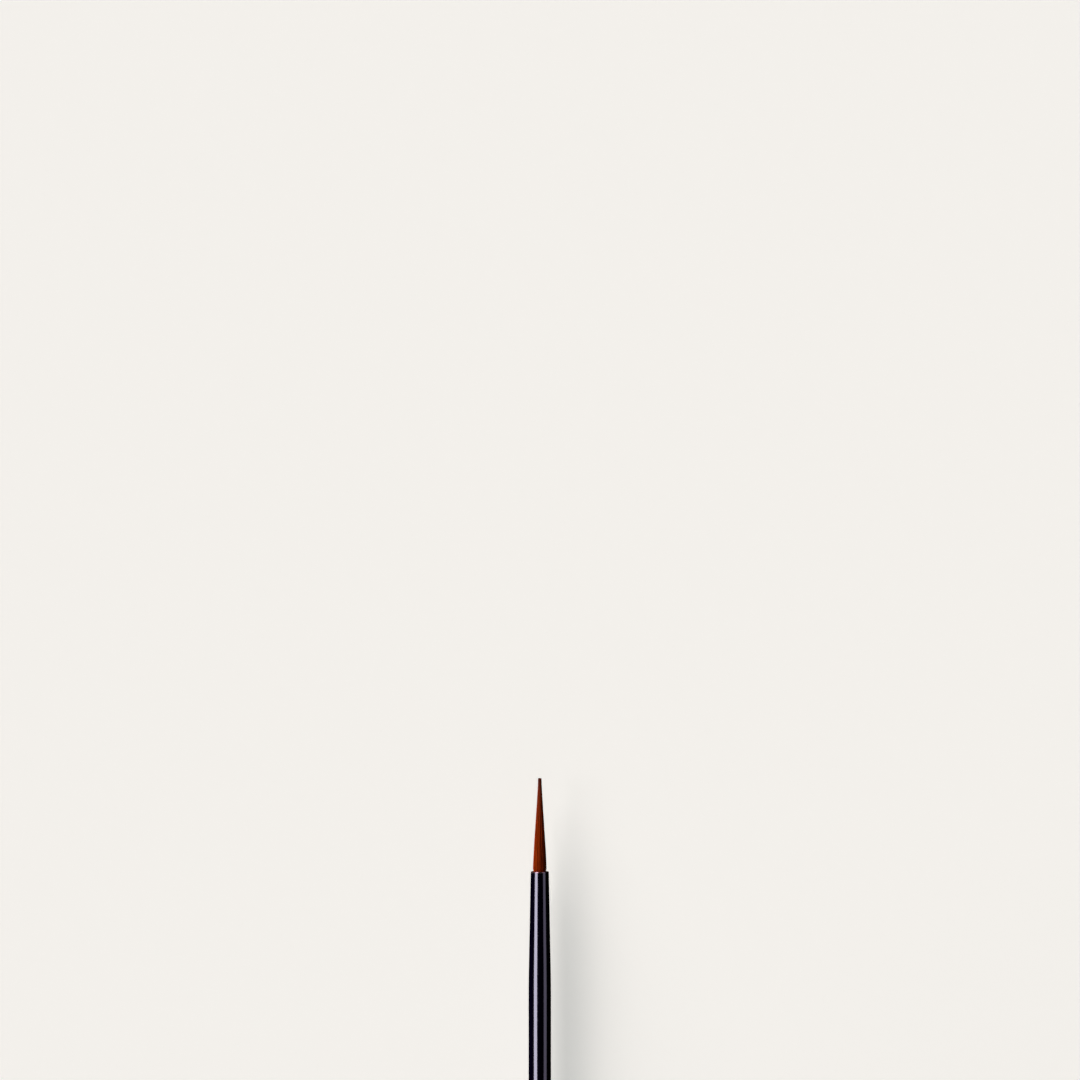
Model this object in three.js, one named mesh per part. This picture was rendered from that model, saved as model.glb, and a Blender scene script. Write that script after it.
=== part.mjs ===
// A fine detail brush: a pointed filament tuft, held by a coned metal ferrule on a turned handle.
// It lies along +Y with its point towards +Y, and its widest stretch rests on z = 0. Millimetres.
//
// Every piece is turned about the brush's own axis. An outline is a list of (radius, along) points,
// where along is measured from the ferrule's mouth: positive towards the point, negative towards
// the tail. Functions of "back" take the distance behind the mouth instead.

import * as THREE from 'three';

// Turning
const SIDES = 24;
const FACE_TO_CORNER = 1 / Math.cos( Math.PI / SIDES ); // so that each flat touches the true round
const GAP = 0.01; // between a piece and the one it sits in

// Tuft
const TUFT_LENGTH = 14.0; // in front of the mouth
const TUFT_MOUTH_RADIUS = 0.965;
const TUFT_TAPER = 0.0555; // radius lost for each millimetre
const POINT_RADIUS = 0.2;
const ROOT_LENGTH = 7.5; // behind the mouth
const SWAY_AT = 2.8; // the lower bend, in front of the mouth
const DIP_AT = 8.0; // the upper bend
const BEND_LIMIT = THREE.MathUtils.degToRad( 30 );
const BEND_SPARE = THREE.MathUtils.degToRad( 5 ); // left open past the limit
const BALL_GAP = 0.03;

// Binding thread
const THREAD_TURNS = 4;
const THREAD_DIAMETER = 0.1;
const THREAD_PITCH = 0.15;
const THREAD_BACK = 4.3;

// Cement plug
const CEMENT_FRONT = 5.2;
const CEMENT_BACK = 13.0;

// Ferrule
const FERRULE_LENGTH = 39.0;
const FERRULE_RADIUS = 1.686;
const FERRULE_MOUTH_RADIUS = 1.3575;
const FERRULE_TAPER = 0.0196;
const CONE_BLEND = 2.2; // half the length over which the cone eases into the barrel
const WALL = 0.3;
const MOUTH_WALL = 0.3775;
const LIP_ROUND = 0.1;
const CRIMPS = [ 34.2, 36.4 ];
const CRIMP_WIDTH = 1.5;
const CRIMP_DEPTH = 0.15;

// Handle
const TENON_BACK = 22.6; // the tenon's front end
const GLUE = 0.06;
const SHOULDER_RADIUS = 1.95;
const BELLY_RADIUS = 3.5;
const BELLY_FRONT = 68.0;
const BELLY_BACK = 86.0; // the brush balances on this straight stretch
const TAPER_BACK = 152.0;
const TAIL_RADIUS = 1.5;
const BRUSH_BACK = 158.0; // the tail's flat end
const TAIL_FLAT_RADIUS = 0.8;
const COAT = 0.12;
const DIP_BACK = 143.0; // where the dipped end starts
const DIP_PROUD = 0.04;

const CONE_BACK = ( FERRULE_RADIUS - FERRULE_MOUTH_RADIUS ) / FERRULE_TAPER;
const CENTRE_ALONG = ( TUFT_LENGTH - BRUSH_BACK ) / 2;

const finishes = {
	filament: { color: 0x7a2a08, roughness: 0.45, metalness: 0 },
	thread: { color: 0xd8cdb8, roughness: 0.8, metalness: 0 },
	cement: { color: 0xc9a25a, roughness: 0.3, metalness: 0 },
	ferrule: { color: 0x0a0716, roughness: 0.14, metalness: 0.6 },
	glue: { color: 0xe6dcc0, roughness: 0.4, metalness: 0 },
	wood: { color: 0xc9a06a, roughness: 0.65, metalness: 0 },
	lacquer: { color: 0x0b0818, roughness: 0.12, metalness: 0 },
	dip: { color: 0x4a1030, roughness: 0.12, metalness: 0 }
};

// ---------------------------------------------------------------------------- helpers

/** Places along a stretch, ends included. */
function stations( from, to, count ) {

	const places = [];
	for ( let i = 0; i <= count; i ++ ) places.push( from + ( to - from ) * i / count );
	return places;

}

/** Outline points of a radius law over distances behind the mouth. */
function follow( radiusAt, backs, inset = 0 ) {

	return backs.map( ( back ) => new THREE.Vector2( radiusAt( back ) - inset, - back ) );

}

/** Outline points on a circle; angle 0 points away from the axis and turns towards the point. */
function arc( centreRadius, centreAlong, radius, from, to, count ) {

	return stations( from, to, count ).map( ( angle ) => new THREE.Vector2(
		centreRadius + radius * Math.cos( angle ),
		centreAlong + radius * Math.sin( angle )
	) );

}

/** A piece turned from its outline, which runs from tail to point on the outside. */
function turned( name, finish, outline ) {

	const corners = outline.map( ( p ) => new THREE.Vector2( p.x * FACE_TO_CORNER, p.y ) );
	const geometry = new THREE.LatheGeometry( corners, SIDES, Math.PI / SIDES );
	const mesh = new THREE.Mesh( geometry, new THREE.MeshStandardMaterial( finishes[ finish ] ) );
	mesh.name = name;
	return mesh;

}

/** A turned piece with a bore: the outside from tail to point, then the inside back to its start. */
function turnedTube( name, finish, outside, inside ) {

	return turned( name, finish, [ ...outside, ...inside, outside[ 0 ].clone() ] );

}

const onAxis = ( along ) => new THREE.Vector2( 0, along );

// ---------------------------------------------------------------------------- tuft

/** The tuft's radius at a place in front of the mouth. */
const tuftRadius = ( along ) => TUFT_MOUTH_RADIUS - TUFT_TAPER * Math.max( along, 0 );

/** The round end that a segment bends on, from the axis up to the widest point. */
function ball( bendAt ) {

	return arc( 0, bendAt, tuftRadius( bendAt ), - Math.PI / 2, 0, 6 );

}

/** The hollow that the next segment's ball turns in, from the outside in to the axis. */
function socket( bendAt ) {

	const open = BEND_LIMIT + BEND_SPARE;
	const radius = tuftRadius( bendAt );
	const rim = radius / ( 1 - TUFT_TAPER * Math.tan( open ) );
	return [
		new THREE.Vector2( rim, bendAt - rim * Math.tan( open ) ),
		...arc( 0, bendAt, radius + BALL_GAP, - open, - Math.PI / 2, 4 )
	];

}

function tuftRoot() {

	return turned( 'tuft_root', 'filament', [
		onAxis( - ROOT_LENGTH ),
		new THREE.Vector2( TUFT_MOUTH_RADIUS, - ROOT_LENGTH ),
		new THREE.Vector2( TUFT_MOUTH_RADIUS, 0 ),
		...socket( SWAY_AT )
	] );

}

function tuftBelly() {

	return turned( 'tuft_belly', 'filament', [ ...ball( SWAY_AT ), ...socket( DIP_AT ) ] );

}

function tuftPoint() {

	const tip = arc( 0, TUFT_LENGTH - POINT_RADIUS, POINT_RADIUS, 0, Math.PI / 2, 4 );
	return turned( 'tuft_point', 'filament', [ ...ball( DIP_AT ), ...tip ] );

}

/** The binding: turns of thread side by side, as one ridged ring. */
function bindingThread() {

	const inner = TUFT_MOUTH_RADIUS + GAP;
	const half = THREAD_DIAMETER / 2;
	const ridges = [];
	for ( let turn = THREAD_TURNS - 1; turn >= 0; turn -- ) {

		const along = - THREAD_BACK - turn * THREAD_PITCH;
		ridges.push( ...arc( inner + half, along, half, - Math.PI / 2, Math.PI / 2, 4 ) );

	}

	const first = new THREE.Vector2( inner, ridges[ 0 ].y );
	const last = new THREE.Vector2( inner, ridges[ ridges.length - 1 ].y );
	return turnedTube( 'binding_thread', 'thread', [ first, ...ridges ], [ last ] );

}

// ---------------------------------------------------------------------------- ferrule

/** The ferrule's outside before crimping: a cone that eases into a straight barrel. */
function barrelRadius( back ) {

	const short = CONE_BACK + CONE_BLEND - back;
	if ( short <= 0 ) return FERRULE_RADIUS;
	if ( short >= 2 * CONE_BLEND ) return FERRULE_MOUTH_RADIUS + FERRULE_TAPER * back;
	return FERRULE_RADIUS - FERRULE_TAPER * short * short / ( 4 * CONE_BLEND );

}

/** How far the crimps press the wall in. */
function crimpDip( back ) {

	const nearest = Math.min( ...CRIMPS.map( ( crimp ) => Math.abs( back - crimp ) ) );
	const across = Math.min( nearest / CRIMP_WIDTH, 0.5 );
	return CRIMP_DEPTH * Math.cos( Math.PI * across ) ** 2;

}

const ferruleRadius = ( back ) => barrelRadius( back ) - crimpDip( back );

/** The ferrule's bore; the wall thins from the mouth to the barrel. */
function boreRadius( back ) {

	const mouthShare = Math.max( 1 - back / ( CONE_BACK - CONE_BLEND ), 0 );
	return ferruleRadius( back ) - WALL - ( MOUTH_WALL - WALL ) * mouthShare;

}

/** Places on the crimped stretch between two distances behind the mouth, nearest the tail first. */
function crimpedStations( front, rear ) {

	const half = CRIMP_WIDTH / 2;
	const pressed = CRIMPS.flatMap( ( crimp ) => stations( crimp - half, crimp + half, 6 ) );
	return [ front, ...pressed, rear ].sort( ( a, b ) => b - a );

}

function ferrule() {

	const eased = stations( CONE_BACK + CONE_BLEND, CONE_BACK - CONE_BLEND, 4 );
	const rearEdge = FERRULE_LENGTH - LIP_ROUND;
	const outside = [
		...arc( FERRULE_RADIUS - LIP_ROUND, - rearEdge, LIP_ROUND, - Math.PI / 2, 0, 2 ),
		...follow( ferruleRadius, crimpedStations( eased[ 0 ], rearEdge ).slice( 1 ) ),
		...follow( ferruleRadius, eased.slice( 1 ) ),
		...arc( ferruleRadius( LIP_ROUND ) - LIP_ROUND, - LIP_ROUND, LIP_ROUND, 0, Math.PI / 2, 3 )
	];
	const boreStations = [ ...crimpedStations( eased[ 0 ], FERRULE_LENGTH ), ...eased.slice( 1 ), 0 ];
	const inside = follow( boreRadius, boreStations ).reverse();
	return turnedTube( 'ferrule', 'ferrule', outside, inside );

}

function cementPlug() {

	const cup = TUFT_MOUTH_RADIUS + GAP;
	const cupFloor = - ROOT_LENGTH - GAP;
	return turned( 'cement_plug', 'cement', [
		onAxis( - CEMENT_BACK ),
		...follow( boreRadius, [ CEMENT_BACK, CEMENT_FRONT ], GAP ),
		new THREE.Vector2( cup, - CEMENT_FRONT ),
		new THREE.Vector2( cup, cupFloor ),
		onAxis( cupFloor )
	] );

}

// ---------------------------------------------------------------------------- handle

/** The finished handle: it swells to the belly, then tapers to a rounded tail. */
function handleRadius( back ) {

	if ( back < BELLY_FRONT ) {

		const swell = ( back - FERRULE_LENGTH ) / ( BELLY_FRONT - FERRULE_LENGTH );
		return THREE.MathUtils.lerp( SHOULDER_RADIUS, BELLY_RADIUS, Math.sin( swell * Math.PI / 2 ) );

	}

	if ( back <= BELLY_BACK ) return BELLY_RADIUS;
	if ( back <= TAPER_BACK ) {

		const taper = ( back - BELLY_BACK ) / ( TAPER_BACK - BELLY_BACK );
		return THREE.MathUtils.lerp( BELLY_RADIUS, TAIL_RADIUS, taper ** 1.5 );

	}

	const cut = Math.sqrt( 1 - ( TAIL_FLAT_RADIUS / TAIL_RADIUS ) ** 2 );
	const nose = cut * ( back - TAPER_BACK ) / ( BRUSH_BACK - TAPER_BACK );
	return TAIL_RADIUS * Math.sqrt( 1 - nose * nose );

}

const swellStations = ( front ) => stations( BELLY_FRONT, front, 7 );
const taperStations = ( rear ) => stations( rear, BELLY_BACK, 6 );
const tailStations = ( rear ) => [ ...stations( rear, TAPER_BACK, 5 ), DIP_BACK + GAP ];

function handleCore() {

	const front = FERRULE_LENGTH + 2 * GAP;
	const inset = COAT + GAP;
	const rear = BRUSH_BACK - inset;
	const tenonInset = GLUE + 2 * GAP;
	const grooved = crimpedStations( TENON_BACK, FERRULE_LENGTH );
	return turned( 'handle_core', 'wood', [
		onAxis( - rear ),
		...follow( handleRadius, tailStations( rear ), inset ),
		...follow( handleRadius, [ ...taperStations( DIP_BACK ), ...swellStations( front ) ], inset ),
		new THREE.Vector2( boreRadius( FERRULE_LENGTH ) - tenonInset, - front ),
		...follow( boreRadius, grooved.slice( 1 ), tenonInset ),
		onAxis( - TENON_BACK )
	] );

}

function tenonGlue() {

	const film = crimpedStations( TENON_BACK + GLUE, FERRULE_LENGTH - GLUE );
	const outside = follow( boreRadius, film, GAP );
	const inside = follow( boreRadius, film, GAP + GLUE ).reverse();
	return turnedTube( 'tenon_glue', 'glue', outside, inside );

}

function handleLacquer() {

	const front = FERRULE_LENGTH + 2 * GAP;
	const coated = [ ...taperStations( DIP_BACK - GAP ), ...swellStations( front ) ];
	const outside = follow( handleRadius, coated );
	const inside = follow( handleRadius, coated, COAT ).reverse();
	return turnedTube( 'handle_lacquer', 'lacquer', outside, inside );

}

function tailDip() {

	const inside = follow( handleRadius, tailStations( BRUSH_BACK - COAT ), COAT ).reverse();
	const proud = ( back ) => handleRadius( back ) + DIP_PROUD;
	return turned( 'tail_dip', 'dip', [
		onAxis( - BRUSH_BACK ),
		...follow( proud, tailStations( BRUSH_BACK ) ),
		...inside,
		onAxis( COAT - BRUSH_BACK )
	] );

}

// ---------------------------------------------------------------------------- the brush

const brush = new THREE.Group();
brush.position.set( 0, - CENTRE_ALONG, BELLY_RADIUS );
brush.add(
	tuftRoot(),
	tuftBelly(),
	tuftPoint(),
	bindingThread(),
	cementPlug(),
	ferrule(),
	tenonGlue(),
	handleCore(),
	handleLacquer(),
	tailDip()
);

export default brush;
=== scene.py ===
"""The looks of a fine detail brush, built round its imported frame.

The brush lies along +Y on a pale floor, point forwards. Its tuft is made filament by filament.
The ferrule, the handle, their coats and the pieces inside are turned about the brush's own axis.
Every finish is procedural. Lengths are metres, and MM turns millimetres into them.
"""

import logging
import math
from dataclasses import dataclass
from enum import Enum
from typing import Callable, Iterable, Sequence

import bmesh
import bpy
import numpy as np
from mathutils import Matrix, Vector


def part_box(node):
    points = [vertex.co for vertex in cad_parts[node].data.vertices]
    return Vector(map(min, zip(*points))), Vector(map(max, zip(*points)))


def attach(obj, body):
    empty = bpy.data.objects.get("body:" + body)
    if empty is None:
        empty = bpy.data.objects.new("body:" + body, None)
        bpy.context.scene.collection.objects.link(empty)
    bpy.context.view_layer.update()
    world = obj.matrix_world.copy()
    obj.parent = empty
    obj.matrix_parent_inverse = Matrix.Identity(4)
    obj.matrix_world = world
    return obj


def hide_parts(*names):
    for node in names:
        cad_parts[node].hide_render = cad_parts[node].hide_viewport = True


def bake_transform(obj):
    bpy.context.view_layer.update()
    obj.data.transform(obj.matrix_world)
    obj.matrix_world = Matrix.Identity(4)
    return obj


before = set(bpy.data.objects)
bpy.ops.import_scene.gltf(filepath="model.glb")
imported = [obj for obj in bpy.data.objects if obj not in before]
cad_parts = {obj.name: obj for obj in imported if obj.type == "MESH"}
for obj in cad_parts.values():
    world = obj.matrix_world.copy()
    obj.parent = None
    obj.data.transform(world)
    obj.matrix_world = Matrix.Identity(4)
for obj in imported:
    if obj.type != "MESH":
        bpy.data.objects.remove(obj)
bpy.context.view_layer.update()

MM = 0.001
TURN = 2 * math.pi
GOLDEN_ANGLE = math.pi * (3 - math.sqrt(5))
TONE = "tone"  # the filaments' own attribute, which their finish reads

Colour = tuple[float, float, float]
Point = tuple[float, float]  # radius, and distance behind the ferrule's mouth

log = logging.getLogger("brush")


class Body(Enum):
    """The bodies that the frame's joints join."""

    BRUSH = "brush"
    LOWER_TUFT = "lower_tuft"
    UPPER_TUFT = "upper_tuft"


class Slot(Enum):
    """The record's material slots."""

    FILAMENT = "filament"
    THREAD = "thread"
    CEMENT = "cement"
    FERRULE = "ferrule"
    GLUE = "glue"
    WOOD = "wood"
    LACQUER = "lacquer"
    DIP = "dip"


# ------------------------------------------------------------------------------ shader maths


class Value:
    """A socket that takes part in Python expressions, each operation adding its Math node."""

    def __init__(self, graph: "Graph", socket: bpy.types.NodeSocket) -> None:
        """Wraps an output socket of the graph."""
        self.graph = graph
        self.socket = socket

    def _math(self, operation: str, *inputs: "Value | float") -> "Value":
        """Adds one Math node."""
        return self.graph.node("ShaderNodeMath", {"operation": operation}, dict(enumerate(inputs)))

    def __add__(self, other: "Value | float") -> "Value":
        """self + other."""
        return self._math("ADD", self, other)

    def __radd__(self, other: float) -> "Value":
        """other + self."""
        return self._math("ADD", other, self)

    def __sub__(self, other: "Value | float") -> "Value":
        """self - other."""
        return self._math("SUBTRACT", self, other)

    def __mul__(self, other: "Value | float") -> "Value":
        """self * other."""
        return self._math("MULTIPLY", self, other)

    def size(self) -> "Value":
        """The value without its sign."""
        return self._math("ABSOLUTE", self)

    def step(self, low: float, high: float) -> "Value":
        """0 up to low and 1 from high on, smooth between them; it falls where low is above high."""
        return self.graph.node(
            "ShaderNodeMapRange",
            {"interpolation_type": "SMOOTHSTEP"},
            {"Value": self, "From Min": low, "From Max": high, "To Min": 0.0, "To Max": 1.0},
        )


class Graph:
    """The node tree of one material."""

    def __init__(self, name: str) -> None:
        """Starts an empty material of that name."""
        self.material = bpy.data.materials.new(name)
        self.material.use_nodes = True
        self.tree = self.material.node_tree
        self.tree.nodes.clear()

    def node(
        self,
        kind: str,
        settings: dict[str, object] | None = None,
        inputs: dict[int | str, "Value | float | Sequence[float]"] | None = None,
        output: int | str | None = 0,
    ) -> Value | None:
        """Adds a node.

        Args:
            kind: Blender's type name.
            settings: attributes to set first; "stops" lists a ramp's (place, colour) pairs.
            inputs: socket name or number to a link or a plain value.
            output: the output that the node stands for, or None if it has none.

        Returns:
            That output.
        """
        made = self.tree.nodes.new(kind)
        for name, value in (settings or {}).items():
            if name == "stops":
                self._set_stops(made.color_ramp, value)
            else:
                setattr(made, name, value)
        for key, value in (inputs or {}).items():
            if isinstance(value, Value):
                self.tree.links.new(value.socket, made.inputs[key])
            else:
                made.inputs[key].default_value = value
        return None if output is None else Value(self, made.outputs[output])

    @staticmethod
    def _set_stops(ramp: bpy.types.ColorRamp, stops: Sequence[tuple[float, Colour]]) -> None:
        """Gives a ramp its stops, lowest first."""
        while len(ramp.elements) < len(stops):
            ramp.elements.new(1.0)
        for element, (place, colour) in zip(ramp.elements, stops):
            element.position = place
            element.color = (*colour, 1.0)

    def place(self, scale: Sequence[float] = (1, 1, 1), origin: Sequence[float] = (0, 0, 0)) -> Value:
        """Object coordinates in millimetres from an origin, then scaled.

        Args:
            scale: how dense a pattern is along X, Y and Z.
            origin: the point, in metres, that becomes zero.

        Returns:
            The coordinates as a vector.
        """
        at = self.node("ShaderNodeTexCoord", output="Object")
        moved = self.node("ShaderNodeVectorMath", {"operation": "SUBTRACT"}, {0: at, 1: tuple(origin)})
        factor = tuple(s / MM for s in scale)
        return self.node("ShaderNodeVectorMath", {"operation": "MULTIPLY"}, {0: moved, 1: factor})

    def part(self, vector: Value, axis: str) -> Value:
        """One coordinate of a vector."""
        return self.node("ShaderNodeSeparateXYZ", inputs={0: vector}, output=axis)

    def noise(self, vector: Value, detail: float = 3.0, rough: float = 0.55) -> Value:
        """Cloudy noise from 0 to 1 with features of about one unit."""
        inputs = {"Vector": vector, "Scale": 1.0, "Detail": detail, "Roughness": rough}
        return self.node("ShaderNodeTexNoise", inputs=inputs, output="Fac")

    def mix(self, share: Value | float, low: Value | Colour, high: Value | Colour) -> Value:
        """A colour between low, at share 0, and high, at share 1."""
        ends = [c if isinstance(c, Value) else (*c, 1.0) for c in (low, high)]
        settings = {"data_type": "RGBA", "clamp_factor": True}
        inputs = {0: share, 6: ends[0], 7: ends[1]}  # 6 and 7 are the colour sockets, and 2 is theirs
        return self.node("ShaderNodeMix", settings, inputs, output=2)

    def ramp(self, share: Value, stops: Sequence[tuple[float, Colour]]) -> Value:
        """A colour looked up on a ramp."""
        return self.node("ShaderNodeValToRGB", {"stops": stops}, {0: share})

    def bump(self, height: Value, depth: float) -> Value:
        """A normal from a height of 0 to 1 that stands for depth metres."""
        return self.node("ShaderNodeBump", inputs={"Height": height, "Distance": depth, "Strength": 1.0})

    def surface(self, **inputs: "Value | float | Sequence[float]") -> bpy.types.Material:
        """Ends the material in a Principled surface.

        Args:
            inputs: its sockets, with underscores for spaces.

        Returns:
            The finished material.
        """
        skin = self.node(
            "ShaderNodeBsdfPrincipled",
            inputs={name.replace("_", " "): value for name, value in inputs.items()},
        )
        self.node("ShaderNodeOutputMaterial", inputs={"Surface": skin}, output=None)
        return self.material


# ------------------------------------------------------------------------------ finishes


@dataclass(frozen=True)
class FilamentFinish:
    """Red-brown filaments, darker and duller towards the point, each a little lighter or darker than the
    next.
    """

    mouth: float
    point: float
    base: Colour = (0.372, 0.0400, 0.0034)
    middle: Colour = (0.372, 0.0480, 0.0110)
    # the point's colour: darker and duller than the rest of the tuft
    tip: Colour = (0.220, 0.0480, 0.0320)
    sheen: Colour = (1.0, 0.30, 0.06)
    base_end: float = 0.45  # this and middle_at are shares of the tuft's length
    middle_at: float = 0.78
    roughness: float = 0.52
    tone_low: float = 0.54  # the shade of a filament whose tone is 0
    tone_spread: float = 0.62
    streak_spread: float = 0.5
    roughness_spread: float = 0.25

    def build(self) -> bpy.types.Material:
        """Makes the material."""
        g = Graph("filament_red_brown")
        along = g.part(g.place(origin=(0, self.mouth, 0)), "Y") * (MM / (self.point - self.mouth))
        stops = [(0.0, self.base), (self.base_end, self.base), (self.middle_at, self.middle), (1.0, self.tip)]
        colour_along = g.ramp(along, stops)
        tone = g.node("ShaderNodeAttribute", {"attribute_name": TONE}, output="Fac")
        streak = g.noise(g.place(scale=(14, 0.7, 14)), detail=2.0)
        shade = self.tone_low + tone * self.tone_spread + (streak - 0.5) * self.streak_spread
        lit = g.node("ShaderNodeVectorMath", {"operation": "SCALE"}, {0: colour_along, "Scale": shade})
        return g.surface(
            Base_Color=lit,
            Roughness=self.roughness + (streak - 0.5) * self.roughness_spread,
            Specular_IOR_Level=0.1,
            Specular_Tint=(*self.sheen, 1.0),
        )


@dataclass(frozen=True)
class DeepGloss:
    """A near-black gloss with a coloured depth, for the ferrule and the lacquered handle."""

    name: str
    colour: Colour
    lift: Colour
    roughness: float
    peel: float
    peel_scale: float
    turned_marks: float = 0.0
    handled_roughness: float = 0.035
    hairline_roughness: float = 0.05
    lip_ring_roughness: float = 0.12
    ior: float = 1.8
    edge: float | None = None  # where along Y the ring with the painted pink reflection lies
    edge_width: float = 0.2 * MM
    # a pink metal tint on the lip's ring: a painted reflection of the red tuft
    painted_lip_reflection: Colour = (0.62, 0.38, 0.38)

    def build(self) -> bpy.types.Material:
        """Makes the material."""
        g = Graph(self.name)
        clouds = g.noise(g.place(scale=(0.35, 0.08, 0.35)))
        hairlines = g.noise(g.place(scale=(26, 0.5, 26)), detail=2.0).step(0.66, 0.78)
        handled = g.noise(g.place(scale=(0.6, 0.25, 0.6)), detail=4.0).step(0.42, 0.7)
        colour = g.mix(clouds, self.colour, self.lift)
        rough = self.roughness + handled * self.handled_roughness + hairlines * self.hairline_roughness
        height = g.noise(g.place(scale=(self.peel_scale,) * 3), detail=1.0)
        metallic = 0.0
        if self.turned_marks:
            rings = g.noise(g.place(scale=(0.4, 30, 0.4)), detail=3.0)
            height = height + rings * self.turned_marks
        # painted reflection: a ragged ring at the lip turns to pink metal, standing in for the tuft mirrored
        # there; the ring is also rougher
        if self.edge is not None:
            painted_reflection_mask = self._painted_lip_ring(g)
            colour = g.mix(painted_reflection_mask, colour, self.painted_lip_reflection)
            rough = rough + painted_reflection_mask * self.lip_ring_roughness
            metallic = painted_reflection_mask
        return g.surface(
            Base_Color=colour,
            Roughness=rough,
            Metallic=metallic,
            IOR=self.ior,
            Specular_IOR_Level=1.0,
            Normal=g.bump(height, self.peel),
        )

    def _painted_lip_ring(self, g: Graph) -> Value:
        """1 on the narrow ring at the edge where a pink reflection of the tuft is painted, 0 elsewhere."""
        width = self.edge_width / MM
        along = g.part(g.place(), "Y")
        ragged = (g.noise(g.place(scale=(3, 3, 3))) - 0.5) * (0.5 * width)
        away = (along - self.edge / MM).size() + ragged
        return away.step(width, 0.6 * width)


@dataclass(frozen=True)
class WoodFinish:
    """Close-grained turned hardwood."""

    pale: Colour = (0.62, 0.40, 0.20)
    dark: Colour = (0.40, 0.21, 0.085)

    def build(self) -> bpy.types.Material:
        """Makes the material."""
        g = Graph("turned_hardwood")
        bands = g.noise(g.place(scale=(1.6, 0.05, 1.6)), detail=3.0)
        fibres = g.noise(g.place(scale=(11, 0.5, 11)), detail=3.0)
        pores = g.noise(g.place(scale=(16, 1.6, 16)), detail=1.0).step(0.62, 0.74)
        share = bands.step(0.3, 0.7) * 0.6 + fibres * 0.4
        colour = g.mix(pores * 0.5, g.mix(share, self.pale, self.dark), self.dark)
        return g.surface(
            Base_Color=colour,
            Roughness=0.55 + fibres * 0.2,
            Normal=g.bump(fibres - pores * 0.6, 0.012 * MM),
        )


@dataclass(frozen=True)
class ThreadFinish:
    """Waxed binding thread with a visible twist."""

    colour: Colour = (0.66, 0.58, 0.44)
    shadow: Colour = (0.38, 0.30, 0.20)

    def build(self) -> bpy.types.Material:
        """Makes the material."""
        g = Graph("waxed_thread")
        fibre = g.noise(g.place(scale=(30, 60, 30)), detail=3.0)
        grime = g.noise(g.place(scale=(2, 2, 2)))
        # painted shade: the thread turns to its shadow colour along the twist of the fibres, and also where
        # the grime noise is high
        return g.surface(
            Base_Color=g.mix(fibre.step(0.35, 0.7) * 0.6 + grime * 0.3, self.colour, self.shadow),
            Roughness=0.55 + fibre * 0.25,
            Normal=g.bump(fibre, 0.01 * MM),
        )


@dataclass(frozen=True)
class ResinFinish:
    """Set resin or glue: a clear body colour, clouded, with small bubbles under the skin."""

    name: str
    colour: Colour
    clouded: Colour
    roughness: float

    def build(self) -> bpy.types.Material:
        """Makes the material."""
        g = Graph(self.name)
        cloud = g.noise(g.place(scale=(1.1, 1.1, 1.1)), detail=4.0)
        bubbles = g.noise(g.place(scale=(7, 7, 7)), detail=0.0).step(0.68, 0.75)
        return g.surface(
            Base_Color=g.mix(cloud * 0.7 + bubbles * 0.3, self.colour, self.clouded),
            Roughness=self.roughness + cloud * 0.1,
            Normal=g.bump(cloud - bubbles * 0.5, 0.01 * MM),
        )


# ------------------------------------------------------------------------------ shape helpers


def stations(start: float, end: float, count: int) -> list[float]:
    """count + 1 even places from start to end."""
    return [float(place) for place in np.linspace(start, end, count + 1)]


def arc(centre: Point, radius: float, start: float, end: float, count: int) -> list[Point]:
    """Points on a circle in an outline.

    Args:
        centre: its radius from the axis and its distance behind the mouth.
        radius: the circle's own.
        start: first angle in degrees; 0 points away from the axis and 90 towards the point.
        end: last angle.
        count: steps between them.

    Returns:
        The points in order.
    """
    turns = [math.radians(a) for a in stations(start, end, count)]
    return [(centre[0] + radius * math.cos(a), centre[1] - radius * math.sin(a)) for a in turns]


def follow(law: Callable[[float], float], backs: Iterable[float], inset: float = 0.0) -> list[Point]:
    """Outline points of a radius law, inset towards the axis."""
    return [(law(back) - inset, back) for back in backs]


def smooth_shaded(bm: bmesh.types.BMesh, sharp_over: float) -> None:
    """Shades all faces smooth, and keeps the edges that turn by more than an angle in degrees."""
    for face in bm.faces:
        face.smooth = True
    for edge in bm.edges:
        edge.smooth = edge.calc_face_angle(0.0) < math.radians(sharp_over)


def to_object(name: str, bm: bmesh.types.BMesh) -> bpy.types.Object:
    """Moves a bmesh into a new object at the origin and frees it."""
    mesh = bpy.data.meshes.new(name)
    bm.to_mesh(mesh)
    bm.free()
    piece = bpy.data.objects.new(name, mesh)
    bpy.context.scene.collection.objects.link(piece)
    return piece


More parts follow.
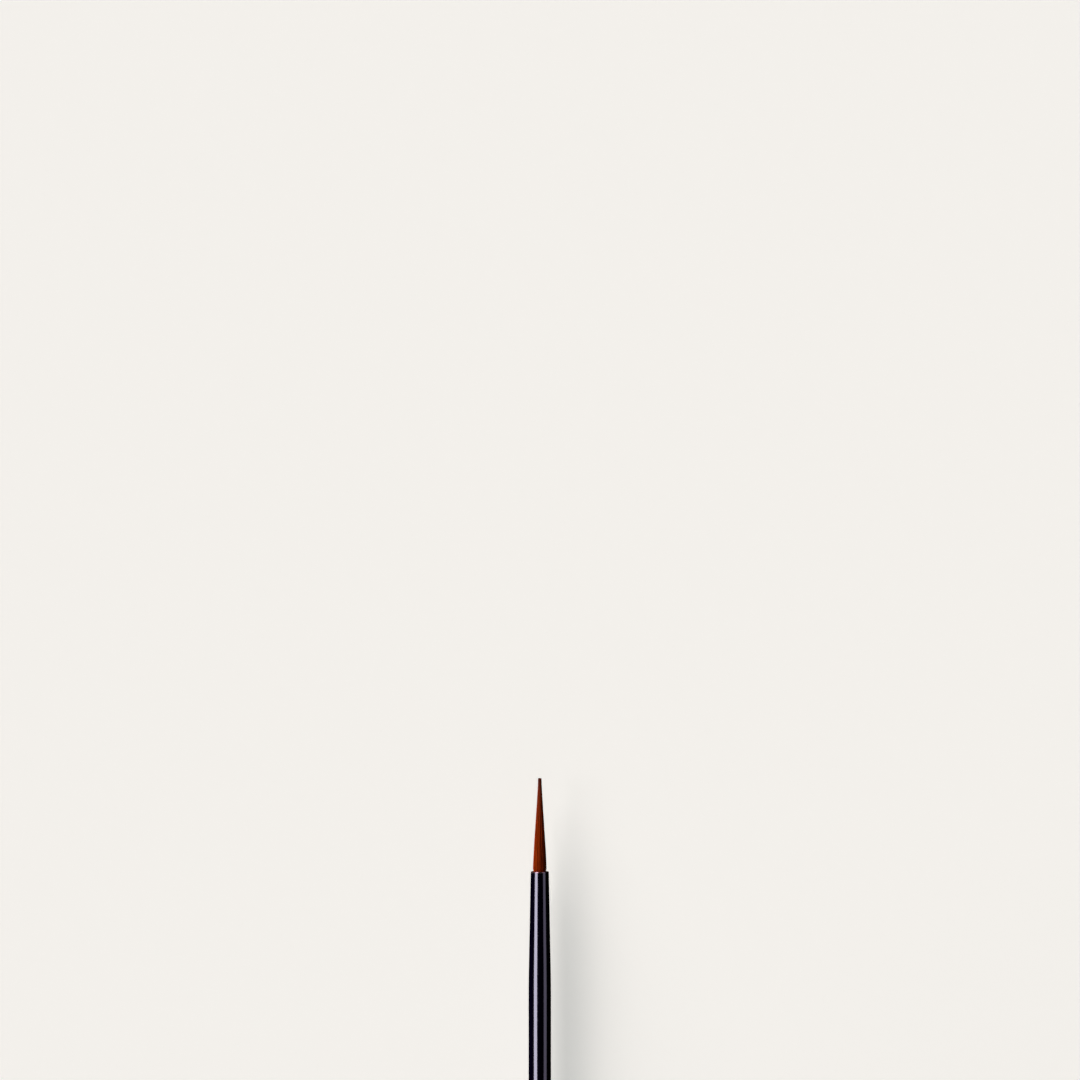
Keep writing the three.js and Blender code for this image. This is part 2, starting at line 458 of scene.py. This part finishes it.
@dataclass(frozen=True)
class Lathe:
    """The brush's own axis, level and along Y, and what is turned about it."""

    mouth: float
    height: float
    steps: int = 128

    def at(self, back: float) -> Vector:
        """The point on the axis at a distance behind the mouth."""
        return Vector((0.0, self.mouth - back, self.height))

    def turn(self, name: str, outline: Sequence[Point], tube: bool = False) -> bpy.types.Object:
        """Turns an outline into a closed piece.

        Args:
            name: the piece's name.
            outline: its points; they start and end on the axis unless it is a tube.
            tube: joins the last point to the first, for a piece with a bore.

        Returns:
            The piece.
        """
        bm = bmesh.new()
        corners = [bm.verts.new(self.at(back) + Vector((radius, 0.0, 0.0))) for radius, back in outline]
        edges = [bm.edges.new(pair) for pair in zip(corners, corners[1:])]
        if tube:
            edges.append(bm.edges.new((corners[-1], corners[0])))
        bmesh.ops.spin(
            bm,
            geom=corners + edges,
            cent=self.at(0),
            axis=(0, 1, 0),
            dvec=(0, 0, 0),
            angle=TURN,
            steps=self.steps,
            use_merge=True,
            use_duplicate=False,
        )
        bmesh.ops.remove_doubles(bm, verts=bm.verts[:], dist=0.0002 * MM)
        bmesh.ops.recalc_face_normals(bm, faces=bm.faces[:])
        smooth_shaded(bm, sharp_over=40)
        return to_object(name, bm)


def dress(piece: bpy.types.Object, material: bpy.types.Material) -> None:
    """Gives a piece its finish."""
    piece.data.materials.append(material)


def report(piece: bpy.types.Object) -> None:
    """Logs a finished piece."""
    log.info("%s: %d faces", piece.name, len(piece.data.polygons))


def finish_piece(
    piece: bpy.types.Object, material: bpy.types.Material, slot: Slot, *nodes: str
) -> bpy.types.Object:
    """Dresses a piece, and has it ride on the brush in place of its plain nodes.

    Args:
        piece: the piece.
        material: its finish.
        slot: the record's slot for that finish; not used.
        nodes: the nodes that it stands for.

    Returns:
        The piece.
    """
    dress(piece, material)
    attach(piece, Body.BRUSH.value)
    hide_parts(*nodes)
    report(piece)
    return piece


# ------------------------------------------------------------------------------ the tuft


@dataclass(frozen=True)
class Tuft:
    """The filaments, gathered into a long cone with a small blunt point.

    Distances along the tuft are in front of the mouth, so its root is at a negative one. The outline
    lists its radius at such distances, in millimetres.
    """

    lathe: Lathe
    length: float
    count: int = 520
    core_share: float = 0.6
    filament_radius: float = 0.0395 * MM
    sides: int = 6
    lengths: int = 7
    root: float = -7.5 * MM
    outline: tuple[Point, ...] = (
        (0.967, 0.0),
        (1.050, 0.4),
        (1.034, 1.1),
        (0.970, 2.3),
        (0.890, 3.5),
        (0.738, 5.9),
        (0.588, 8.3),
        (0.428, 10.7),
        (0.338, 12.2),
        (0.286, 13.1),
        (0.274, 13.7),
        (0.270, 14.0),
    )
    split: float = 5.5 * MM
    bend_room: float = 0.1 * MM
    lower_start: float = 0.2 * MM
    upper_end: float = 10.4 * MM
    flare: float = 0.4 * MM
    wander: float = 0.016 * MM
    wander_full: float = 2.5 * MM  # where the wander has grown to its whole size
    waves: tuple[float, float] = (0.35, 0.9)  # radians for each millimetre
    angle_scatter: float = 0.05
    end_scatter: float = 0.16 * MM
    end_round: float = 0.05 * MM
    end_taper: float = 0.8 * MM
    end_share: float = 0.6
    seed: int = 7

    def envelope(self, along: np.ndarray) -> np.ndarray:
        """The tuft's radius at places along it."""
        radii, places = np.array(self.outline).T * MM
        return np.interp(along, places, radii)

    def build(self) -> list[bpy.types.Object]:
        """Makes the filaments as a lower and an upper piece for the core and for the outside.

        Returns:
            The four pieces.
        """
        mouth = self.lathe.mouth
        material = FilamentFinish(mouth, mouth + self.length).build()
        rng = np.random.default_rng(self.seed)
        places = (np.arange(self.count) + 0.5) / self.count
        spread = np.sqrt(places)
        strands = {
            "spread": spread,
            "angle": np.arange(self.count) * GOLDEN_ANGLE + rng.normal(0, self.angle_scatter, self.count),
            "end": self.length - self.end_scatter * rng.random(self.count) ** 2 - self.end_round * places,
            "tone": rng.random(self.count),
            "phase": rng.uniform(0, TURN, (self.count, 4)),
            "wave": rng.uniform(*self.waves, (self.count, 2)) / MM,
        }
        inner = spread < self.core_share
        pieces = []
        for name, chosen in (("core", inner), ("outer", ~inner)):
            some = {key: values[chosen] for key, values in strands.items()}
            pieces += self._pair(name, some, material)
        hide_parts("tuft_root", "tuft_belly")
        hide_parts("tuft_point")
        return pieces

    def _pair(
        self, name: str, strands: dict[str, np.ndarray], material: bpy.types.Material
    ) -> list[bpy.types.Object]:
        """Makes one set of filaments, below and above the split, with most of its rings at the bends.

        Args:
            name: which set it is.
            strands: the set's places, ends and shades.
            material: the finish of both pieces.

        Returns:
            The lower piece and the upper one.
        """
        ends = strands["end"][:, None]
        bent = self.lengths - 2
        low = np.tile([self.root, 0.0, *stations(self.flare, self.split, bent)], (len(ends), 1))
        high = np.tile(stations(self.split, self.upper_end, bent), (len(ends), 1))
        high = np.hstack([high, ends - self.end_taper, ends])
        lower = self._bundle(f"filaments_{name}_lower", strands, low)
        upper = self._bundle(f"filaments_{name}_upper", strands, high)
        for piece in (lower, upper):
            dress(piece, material)
        low_end, high_start = self.split - self.bend_room, self.split + self.bend_room
        points = [
            self.lathe.at(-along) for along in (self.lower_start, low_end, high_start, self.upper_end)
        ]
        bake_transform(lower)
        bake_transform(upper)
        report(lower)
        report(upper)
        return [lower, upper]

    def _template(self) -> bpy.types.Mesh:
        """One straight filament, 1 long and 1 in radius, cut into even lengths."""
        bm = bmesh.new()
        bmesh.ops.create_cone(
            bm, cap_ends=True, cap_tris=False, segments=self.sides, radius1=1.0, radius2=1.0, depth=1.0
        )
        long_edges = [e for e in bm.edges if abs(e.verts[0].co.z - e.verts[1].co.z) > 0.5]
        bmesh.ops.subdivide_edges(bm, edges=long_edges, cuts=self.lengths - 1, use_grid_fill=True)
        smooth_shaded(bm, sharp_over=75)
        mesh = bpy.data.meshes.new("filament_template")
        bm.to_mesh(mesh)
        bm.free()
        return mesh

    def _bundle(self, name: str, strands: dict[str, np.ndarray], rings: np.ndarray) -> bpy.types.Object:
        """Copies the template once for each strand and lays each copy along its own curve.

        Args:
            name: the piece's name.
            strands: the strands' places, ends and shades.
            rings: a row for each strand, with its rings' places along the tuft.

        Returns:
            The piece.
        """
        template = self._template()
        base = np.zeros(len(template.vertices) * 3)
        template.vertices.foreach_get("co", base)
        base = base.reshape(-1, 3)
        bm = bmesh.new()
        for _ in strands["end"]:
            bm.from_mesh(template)
        piece = to_object(name, bm)
        bpy.data.meshes.remove(template)
        ring = np.rint((base[:, 2] + 0.5) * self.lengths).astype(int)
        along = rings[:, ring]
        centre, radius = self._course(strands, along)
        turn = strands["phase"][:, :1]
        cos, sin = np.cos(turn), np.sin(turn)
        across = base[None, :, 0] * cos - base[None, :, 1] * sin
        up = base[None, :, 0] * sin + base[None, :, 1] * cos
        shaped = np.stack(
            [
                centre[0] + up * radius,
                self.lathe.mouth + along,
                self.lathe.height + centre[1] + across * radius,
            ],
            axis=2,
        )
        piece.data.vertices.foreach_set("co", shaped.reshape(-1))
        tone = piece.data.attributes.new(TONE, "FLOAT", "POINT")
        tone.data.foreach_set("value", np.repeat(strands["tone"], len(base)).astype(np.float32))
        piece.data.update()
        return piece

    def _course(
        self, strands: dict[str, np.ndarray], along: np.ndarray
    ) -> tuple[tuple[np.ndarray, np.ndarray], np.ndarray]:
        """Where each strand's middle runs, and how thick it is there."""
        envelope = self.envelope(along)
        left = np.clip((strands["end"][:, None] - along) / self.end_taper, 0, 1)
        gathered = envelope / (self.outline[0][0] * MM)
        radius = self.filament_radius * gathered
        radius = radius * (self.end_share + (1 - self.end_share) * np.sqrt(left))
        free = np.clip(along / self.wander_full, 0, 1) * gathered
        reach = (envelope - radius) * strands["spread"][:, None]
        phase, wave = strands["phase"], strands["wave"]
        sways = [
            self.wander * free * np.sin(along * wave[:, i, None] + phase[:, i + 1, None]) for i in (0, 1)
        ]
        angle = strands["angle"][:, None]
        return (reach * np.cos(angle) + sways[0], reach * np.sin(angle) + sways[1]), radius


# ------------------------------------------------------------------------------ the ferrule


@dataclass(frozen=True)
class Ferrule:
    """A seamless metal tube: a long cone, a straight barrel and two crimps that grip the handle."""

    lathe: Lathe
    length: float = 39.0 * MM
    radius: float = 1.686 * MM
    mouth_radius: float = 1.3575 * MM
    taper: float = 0.0196
    blend: float = 2.2 * MM
    wall: float = 0.3 * MM
    mouth_wall: float = 0.3775 * MM
    lip_outer: float = 0.17 * MM
    lip_inner: float = 0.12 * MM
    rear_round: float = 0.1 * MM
    crimps: tuple[float, float] = (34.2 * MM, 36.4 * MM)
    crimp_width: float = 1.5 * MM
    crimp_depth: float = 0.15 * MM

    @property
    def cone_end(self) -> float:
        """Where the cone would meet the barrel if it didn't ease into it."""
        return (self.radius - self.mouth_radius) / self.taper

    def barrel(self, back: float) -> float:
        """The outside before crimping."""
        short = self.cone_end + self.blend - back
        if short <= 0:
            return self.radius
        if short >= 2 * self.blend:
            return self.mouth_radius + self.taper * back
        return self.radius - self.taper * short**2 / (4 * self.blend)

    def outside(self, back: float) -> float:
        """The finished outside."""
        nearest = min(abs(back - crimp) for crimp in self.crimps)
        across = min(nearest / self.crimp_width, 0.5)
        return self.barrel(back) - self.crimp_depth * math.cos(math.pi * across) ** 2

    def bore(self, back: float) -> float:
        """The inside; the wall thins from the mouth to the barrel."""
        mouth_share = max(1 - back / (self.cone_end - self.blend), 0)
        return self.outside(back) - self.wall - (self.mouth_wall - self.wall) * mouth_share

    def pressed(self, front: float, rear: float) -> list[float]:
        """Places from front to rear, close together over the crimps."""
        half = self.crimp_width / 2
        places = {front, rear}
        for crimp in self.crimps:
            places.update(stations(crimp - half, crimp + half, 16))
        return sorted(place for place in places if front <= place <= rear)

    def build(self) -> bpy.types.Object:
        """Turns the tube.

        Returns:
            The ferrule.
        """
        eased = stations(self.cone_end - self.blend, self.cone_end + self.blend, 12)
        cone = stations(self.lip_outer, eased[0], 12)[1:-1]
        rear = self.length - self.rear_round
        run = [*cone, *eased, *self.pressed(eased[-1] + MM, rear)[:-1]]
        mouth_outer = (self.outside(self.lip_outer) - self.lip_outer, self.lip_outer)
        mouth_inner = (self.bore(self.lip_inner) + self.lip_inner, self.lip_inner)
        outline = [
            *arc(mouth_inner, self.lip_inner, 180, 90, 8),
            *arc(mouth_outer, self.lip_outer, 90, 0, 10),
            *follow(self.outside, run),
            *arc((self.radius - self.rear_round, rear), self.rear_round, 0, -90, 6),
            *reversed(follow(self.bore, [*run, self.length])),
        ]
        piece = self.lathe.turn("ferrule_tube", outline, tube=True)
        finish = DeepGloss(
            name="ferrule_black_violet",
            colour=(0.0006, 0.0001, 0.0042),
            lift=(0.0013, 0.0004, 0.0068),
            roughness=0.115,
            peel=0.004 * MM,
            peel_scale=0.5,
            turned_marks=0.06,
            # the mouth's lip gets the painted pink reflection of the tuft
            edge=self.lathe.mouth,
        )
        return finish_piece(piece, finish.build(), Slot.FERRULE, "ferrule")


@dataclass(frozen=True)
class Binding:
    """What holds the tuft inside the ferrule: a few turns of thread and a plug of cement."""

    lathe: Lathe
    ferrule: Ferrule
    inner: float = 0.975 * MM
    gap: float = 0.01 * MM
    thread_diameter: float = 0.1 * MM
    thread_turns: int = 4
    thread_back: float = 4.3 * MM
    thread_pitch: float = 0.15 * MM
    plug_front: float = 5.2 * MM
    plug_floor: float = 7.51 * MM
    plug_back: float = 13.0 * MM
    floor_round: float = 0.1 * MM
    meniscus: float = 0.06 * MM

    def build(self) -> list[bpy.types.Object]:
        """Makes the thread and the plug.

        Returns:
            Both pieces.
        """
        return [self._thread(), self._plug()]

    def _thread(self) -> bpy.types.Object:
        """A coil of thread, wound as one helix."""
        half = self.thread_diameter / 2
        steps = 56 * self.thread_turns
        run = (self.thread_turns - 1) * self.thread_pitch
        bm = bmesh.new()
        made = bmesh.ops.create_circle(bm, cap_ends=False, segments=10, radius=half)
        corners = made["verts"]
        bmesh.ops.translate(bm, verts=corners, vec=self.lathe.at(self.thread_back))
        bmesh.ops.translate(bm, verts=corners, vec=(self.inner + half, 0, 0))
        bmesh.ops.spin(
            bm,
            geom=corners + bm.edges[:],
            cent=self.lathe.at(0),
            axis=(0, 1, 0),
            dvec=(0, -run / steps, 0),
            angle=TURN * self.thread_turns,
            steps=steps,
            use_merge=False,
            use_duplicate=False,
        )
        ends = [edge for edge in bm.edges if edge.is_boundary]
        bmesh.ops.holes_fill(bm, edges=ends, sides=0)
        bmesh.ops.recalc_face_normals(bm, faces=bm.faces[:])
        smooth_shaded(bm, sharp_over=60)
        piece = to_object("binding_coil", bm)
        return finish_piece(piece, ThreadFinish().build(), Slot.THREAD, "binding_thread")

    def _plug(self) -> bpy.types.Object:
        """The cement, with a cup for the tuft's root and a rim that creeps up both walls."""
        across = self.ferrule.bore(self.plug_front) - self.gap - self.inner
        rim = []
        for share in stations(0, 1, 8):
            sag = self.meniscus * (1 - (2 * share - 1) ** 2)
            rim.append((self.inner + across * share, self.plug_front + sag))
        corner = (self.inner - self.floor_round, self.plug_floor - self.floor_round)
        outline = [
            (0.0, self.plug_floor),
            (corner[0], self.plug_floor),
            *arc(corner, self.floor_round, -90, 0, 4)[1:],
            *rim,
            *follow(self.ferrule.bore, stations(self.plug_front, self.plug_back, 12)[1:], self.gap),
            (0.0, self.plug_back),
        ]
        piece = self.lathe.turn("cement_cup", outline)
        amber = ResinFinish("amber_cement", (0.52, 0.27, 0.07), (0.68, 0.46, 0.19), 0.18)
        return finish_piece(piece, amber.build(), Slot.CEMENT, "cement_plug")


# ------------------------------------------------------------------------------ the handle


@dataclass(frozen=True)
class Handle:
    """A turned wooden handle: its tenon is glued in the ferrule, its body lacquered, its tail dipped."""

    lathe: Lathe
    ferrule: Ferrule
    tenon_front: float = 22.6 * MM
    glue: float = 0.06 * MM
    gap: float = 0.01 * MM
    shoulder_radius: float = 1.95 * MM
    belly_radius: float = 3.5 * MM
    belly_front: float = 68.0 * MM
    belly_back: float = 86.0 * MM
    taper_back: float = 152.0 * MM
    tail_radius: float = 1.5 * MM
    end: float = 158.0 * MM
    tail_flat: float = 0.8 * MM
    tail_power: float = 1.5
    coat: float = 0.12 * MM
    dip_back: float = 143.0 * MM
    dip_proud: float = 0.04 * MM
    bead: float = 0.035 * MM
    bead_back: float = 0.45 * MM
    bead_width: float = 0.4 * MM
    bead_run: float = 2.0 * MM
    edge_round: float = 0.1 * MM
    shoulder_coat: float = 0.06 * MM
    tucked: float = 0.15 * MM  # how far the coat reaches in behind the ferrule's rim
    apart: float = 0.05 * MM  # the least distance between two rings of the body

    def radius(self, back: float) -> float:
        """The finished handle's radius."""
        if back < self.belly_front:
            swell = (back - self.ferrule.length) / (self.belly_front - self.ferrule.length)
            lift = math.sin(swell * math.pi / 2)
            return self.shoulder_radius + (self.belly_radius - self.shoulder_radius) * lift
        if back <= self.belly_back:
            return self.belly_radius
        if back <= self.taper_back:
            fall = ((back - self.belly_back) / (self.taper_back - self.belly_back)) ** self.tail_power
            return self.belly_radius + (self.tail_radius - self.belly_radius) * fall
        cut = math.sqrt(1 - (self.tail_flat / self.tail_radius) ** 2)
        nose = cut * (back - self.taper_back) / (self.end - self.taper_back)
        return self.tail_radius * math.sqrt(1 - nose**2)

    def dipped(self, back: float) -> float:
        """The outside of the dip, with the bead that wet lacquer leaves at its edge."""
        from_bead = (back - self.dip_back - self.bead_back) / self.bead_width
        return self.radius(back) + self.dip_proud + self.bead * math.exp(-(from_bead**2))

    def build(self) -> list[bpy.types.Object]:
        """Makes the core, its glue film and its two coats.

        Returns:
            The four pieces.
        """
        return [self._core(), self._glue(), self._lacquer(), self._dip()]

    def _body_places(self, front: float, rear: float) -> list[float]:
        """Places along the body, closer together where it curves."""
        marks = [
            *stations(self.ferrule.length, self.belly_front, 28),
            *stations(self.belly_front, self.belly_back, 4),
            *stations(self.belly_back, self.taper_back, 36),
            *stations(self.taper_back, self.end, 16),
        ]
        inside = {mark for mark in marks if front + self.apart < mark < rear - self.apart}
        return [front, *sorted(inside), rear]

    def _core(self) -> bpy.types.Object:
        """The wood: a tenon that fills the crimps, a shoulder and the body under the coats."""
        inset = self.coat + self.gap
        tenon_inset = self.glue + 2 * self.gap
        front = self.ferrule.length + self.shoulder_coat + 3 * self.gap
        rear = self.end - inset
        tenon = self.ferrule.pressed(self.tenon_front, self.ferrule.length)
        outline = [
            (0.0, self.tenon_front),
            *follow(self.ferrule.bore, tenon, tenon_inset),
            (self.ferrule.bore(self.ferrule.length) - tenon_inset, front),
            *follow(self.radius, self._body_places(front, rear), inset),
            (0.0, rear),
        ]
        piece = self.lathe.turn("handle_wood", outline)
        return finish_piece(piece, WoodFinish().build(), Slot.WOOD, "handle_core")

    def _glue(self) -> bpy.types.Object:
        """The film of glue round the tenon."""
        film = self.ferrule.pressed(self.tenon_front + self.glue, self.ferrule.length - self.glue)
        outline = [
            *follow(self.ferrule.bore, film, self.gap),
            *reversed(follow(self.ferrule.bore, film, self.gap + self.glue)),
        ]
        piece = self.lathe.turn("glue_film", outline, tube=True)
        cream = ResinFinish("cream_glue", (0.70, 0.62, 0.42), (0.80, 0.74, 0.58), 0.42)
        return finish_piece(piece, cream.build(), Slot.GLUE, "tenon_glue")

    def _lacquer(self) -> bpy.types.Object:
        """The dark coat, which wraps the shoulder and ends behind the ferrule's rim."""
        front = self.ferrule.length + 2 * self.gap
        rear = self.dip_back - self.gap
        under = front + self.shoulder_coat
        places = self._body_places(front, rear)
        corner = (self.radius(front + self.edge_round) - self.edge_round, front + self.edge_round)
        rim = self.ferrule.radius - self.tucked
        outline = [
            (rim, front),
            *arc(corner, self.edge_round, 90, 0, 6),
            *follow(self.radius, places[1:]),
            *reversed(follow(self.radius, [under, *places[1:]], self.coat)),
            (rim, under),
        ]
        piece = self.lathe.turn("lacquer_coat", outline, tube=True)
        finish = DeepGloss(
            name="lacquer_black_violet",
            colour=(0.0020, 0.0012, 0.0060),
            lift=(0.0040, 0.0020, 0.0105),
            roughness=0.07,
            peel=0.012 * MM,
            peel_scale=0.55,
        )
        return finish_piece(piece, finish.build(), Slot.LACQUER, "handle_lacquer")

    def _dip(self) -> bpy.types.Object:
        """The coloured end, proud of the coat that it overlaps."""
        front = self.dip_back + self.gap
        places = self._body_places(front, self.end)
        lead = self.dip_proud
        past_bead = front + self.bead_run
        outline = [
            *arc((self.dipped(front + lead) - lead, front + lead), lead, 90, 0, 5),
            *follow(self.dipped, stations(front + lead, past_bead, 12)[1:]),
            *follow(self.dipped, [back for back in places if back > past_bead + self.apart]),
            (0.0, self.end),
            (0.0, self.end - self.coat),
            *reversed(follow(self.radius, [*places[:-1], self.end - self.coat], self.coat)),
        ]
        piece = self.lathe.turn("tail_lacquer", outline, tube=True)
        finish = DeepGloss(
            name="deep_wine_gloss",
            colour=(0.069, 0.005, 0.030),
            lift=(0.090, 0.008, 0.040),
            roughness=0.06,
            peel=0.014 * MM,
            peel_scale=0.5,
        )
        return finish_piece(piece, finish.build(), Slot.DIP, "tail_dip")


# ------------------------------------------------------------------------------ the studio


def away_from_above(across: float, ahead: float) -> Vector:
    """The direction that leans from straight up by degrees across, towards +X, and ahead, towards +Y."""
    lean, turn = math.radians(across), math.radians(ahead)
    return Vector((math.sin(lean) * math.cos(turn), math.sin(turn), math.cos(lean) * math.cos(turn)))


def hang_light(data: bpy.types.Light, away: Vector, place: Vector) -> bpy.types.Object:
    """Hangs a light that shines back along a direction, its width lying across the brush."""
    light = bpy.data.objects.new(data.name, data)
    bpy.context.scene.collection.objects.link(light)
    light.location = place
    light.rotation_euler = away.to_track_quat("Z", "X").to_euler()
    light.visible_camera = False
    return light


@dataclass(frozen=True)
class Sky:
    """A round patch of even light, as far away as the sky. It lights, but isn't mirrored."""

    name: str
    across: float
    ahead: float
    breadth: float  # degrees
    strength: float
    colour: Colour = (1.0, 1.0, 1.0)
    shadow: bool = True

    def build(self, target: Vector) -> None:
        """Hangs the patch over the target."""
        data = bpy.data.lights.new(self.name, "SUN")
        data.angle = math.radians(self.breadth)
        data.energy = self.strength
        data.color = self.colour
        data.use_shadow = self.shadow
        away = away_from_above(self.across, self.ahead)
        hang_light(data, away, target + away).visible_glossy = False


@dataclass(frozen=True)
class Strip:
    """A softbox near the brush. It is mirrored in the gloss, but lights nothing."""

    name: str
    across: float
    ahead: float
    width: float
    length: float
    radiance: float
    colour: Colour
    distance: float = 1.0

    def build(self, target: Vector) -> None:
        """Hangs the softbox, facing the target."""
        data = bpy.data.lights.new(self.name, "AREA")
        data.shape = "RECTANGLE"
        data.size = self.width
        data.size_y = self.length
        data.energy = 4 * self.width * self.length * self.radiance  # the watts that give this radiance
        data.color = self.colour
        away = away_from_above(self.across, self.ahead)
        hang_light(data, away, target + away * self.distance).visible_diffuse = False


@dataclass(frozen=True)
class Studio:
    """A pale sheet of paper under a soft light from the left, seen from straight above."""

    axis: Vector
    point: float
    paper: Colour = (0.896, 0.871, 0.831)
    glow: Colour = (0.578, 0.598, 0.604)
    floor_size: float = 30.0
    lens: float = 180.0
    sensor: float = 36.0
    seen_width: float = 162.0 * MM
    ahead: float = 35.7 * MM
    aside: float = 0.03 * MM
    lit_back: float = 40.0 * MM  # how far behind the point the lights aim

    def build(self) -> None:
        """Makes the paper, its surroundings, the lights and the camera."""
        self._world()
        self._floor()
        target = Vector((self.axis.x, self.point - self.lit_back, self.axis.z))
        for light in self._lights():
            light.build(target)
        self._camera()
        bpy.context.scene.view_settings.view_transform = "Standard"

    def _lights(self) -> list[Sky | Strip]:
        """The patches of sky that light the brush, then the softboxes that its gloss mirrors."""
        warm = (1.0, 0.951, 0.936)
        lavender = (0.83, 0.78, 1.0)
        return [
            Sky("key", -63, 55, 38, 3.66, warm),
            Sky("low_key", -61, 0, 24, 0.62, warm),
            Sky("side", -90, 10, 6, 2.8, warm),
            Sky("tail_fill", 15, -68, 50, 0.12, shadow=False),
            Strip("left_strip", -45.5, 0, 0.60, 5.0, 2.9, lavender),
            Strip("right_strip", 57.5, 0, 0.56, 5.0, 0.43, (0.76, 0.69, 1.0)),
            Strip("tail_box", 0, -70, 0.5, 0.5, 0.7, lavender),
        ]

    def _world(self) -> None:
        """Surrounds the paper with its own colour; only the camera sees it."""
        world = bpy.data.worlds.new("studio")
        bpy.context.scene.world = world
        world.use_nodes = True
        background = world.node_tree.nodes["Background"]
        background.inputs["Color"].default_value = (*self.paper, 1.0)
        background.inputs["Strength"].default_value = 1.0
        world.cycles_visibility.diffuse = False
        world.cycles_visibility.glossy = False

    def _floor(self) -> None:
        """A sheet of paper that takes a shadow but throws no light back."""
        g = Graph("paper")
        glow = (*(tint * share for tint, share in zip(self.paper, self.glow)), 1.0)
        material = g.surface(
            Base_Color=(*self.paper, 1.0),
            Roughness=0.9,
            Specular_IOR_Level=0.0,
            Emission_Color=glow,
            Emission_Strength=1.0,
        )
        bm = bmesh.new()
        bmesh.ops.create_grid(bm, x_segments=1, y_segments=1, size=self.floor_size / 2)
        floor = to_object("paper_sheet", bm)
        floor.data.materials.append(material)
        floor.visible_glossy = False
        floor.visible_diffuse = False

    def _camera(self) -> None:
        """A long lens, looking straight down, with the brush running out of the lower edge."""
        data = bpy.data.cameras.new("camera")
        data.lens = self.lens
        data.sensor_width = self.sensor
        data.dof.use_dof = False
        camera = bpy.data.objects.new("camera", data)
        height = self.seen_width * self.lens / self.sensor
        camera.location = (self.axis.x + self.aside, self.point + self.ahead, self.axis.z + height)
        bpy.context.scene.collection.objects.link(camera)
        bpy.context.scene.camera = camera


# ------------------------------------------------------------------------------ the scene


def main() -> None:
    """Builds the brush and its studio."""
    logging.basicConfig(level=logging.INFO, format="%(name)s: %(message)s")
    low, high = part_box("ferrule")
    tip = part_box("tuft_point")[1].y
    lathe = Lathe(mouth=high.y, height=(low.z + high.z) / 2)
    ferrule = Ferrule(lathe)
    ferrule.build()
    Binding(lathe, ferrule).build()
    Handle(lathe, ferrule).build()
    Tuft(lathe, length=tip - lathe.mouth).build()
    Studio(lathe.at(0), tip).build()


if __name__ == "__main__":
    main()
